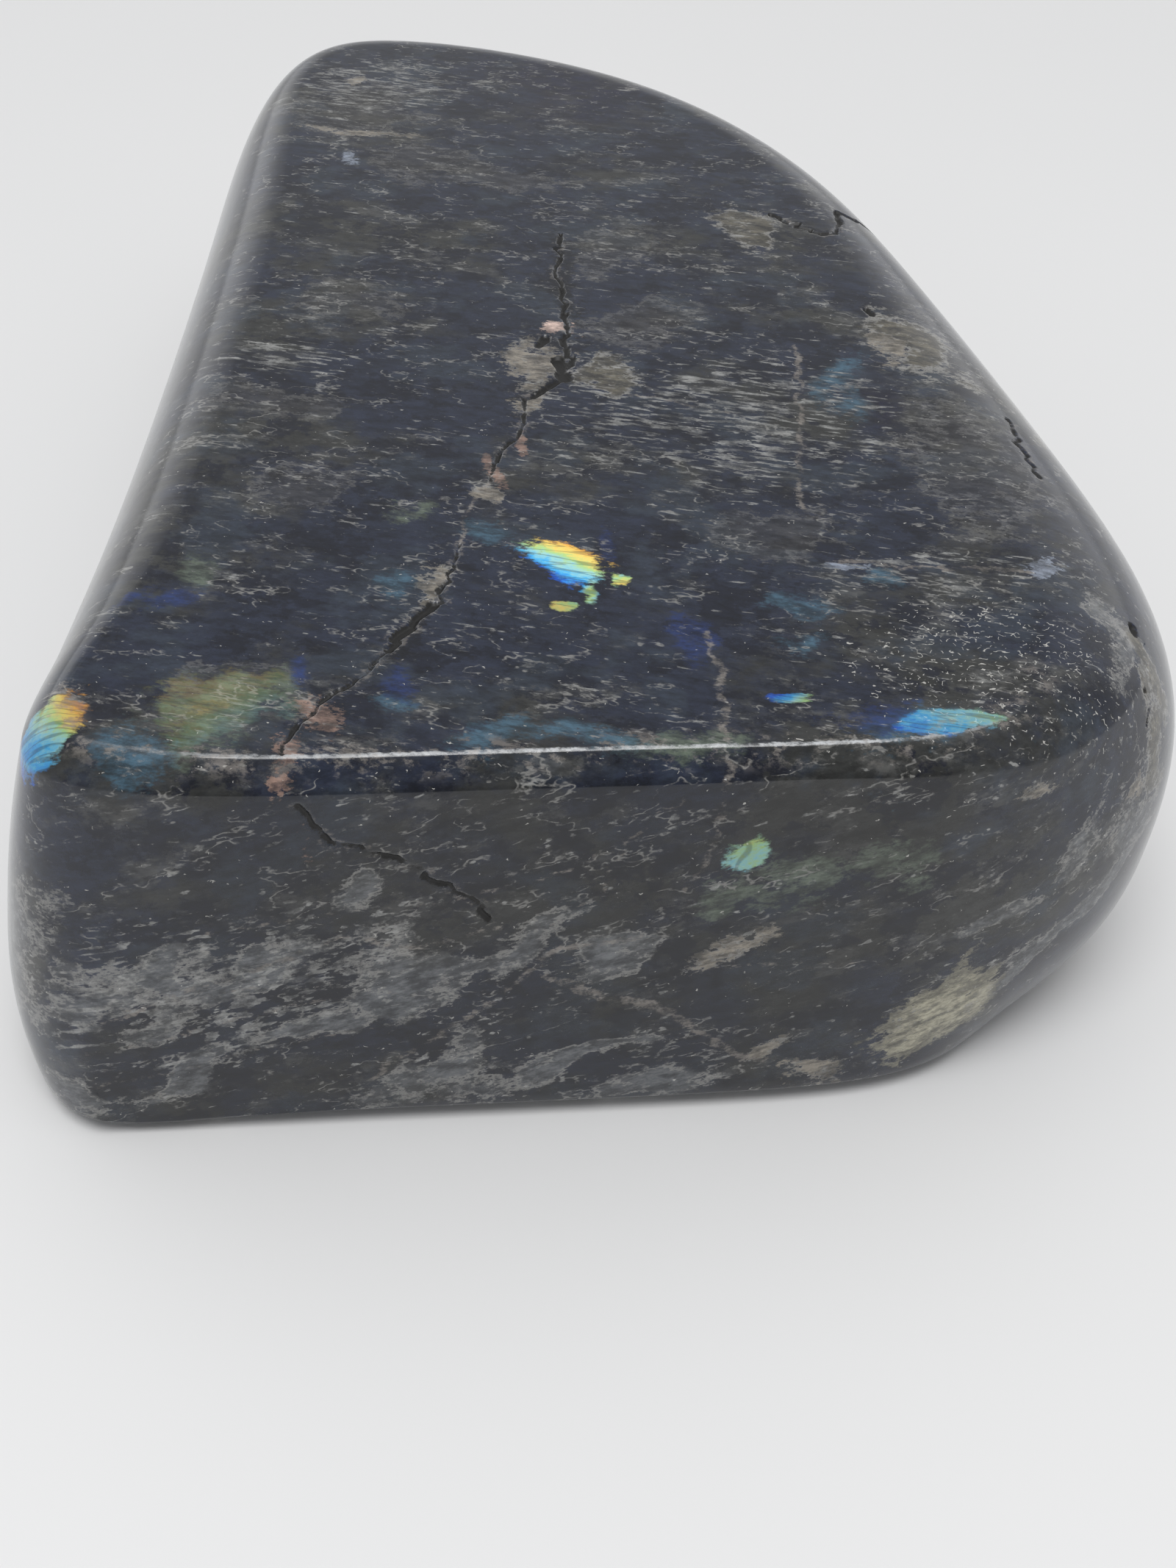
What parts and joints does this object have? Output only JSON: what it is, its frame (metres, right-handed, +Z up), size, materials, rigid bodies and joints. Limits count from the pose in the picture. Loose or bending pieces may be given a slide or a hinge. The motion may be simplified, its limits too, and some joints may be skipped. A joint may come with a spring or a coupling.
{
  "type": "polished stone freeform",
  "caption": "Polished slab-like stone with one sawn bevelled end, rounded flanks and a ground top face, lying flat on its back.",
  "frame": {"origin": "centre of the bounding box in plan, at the height of the flat back the stone lies on", "axes": "+Z up out of the ground top face, +Y along the stone from the sawn end to the rounded end, +X towards the rounder long flank"},
  "size_m": [0.145, 0.2072, 0.0607],
  "materials": {
    "stone": "polished dark blue-grey feldspar with brown-grey bands and patches of spectral blue, green and orange"
  },
  "bodies": {
    "root": {"stone": "stone"}
  },
  "joints": []
}
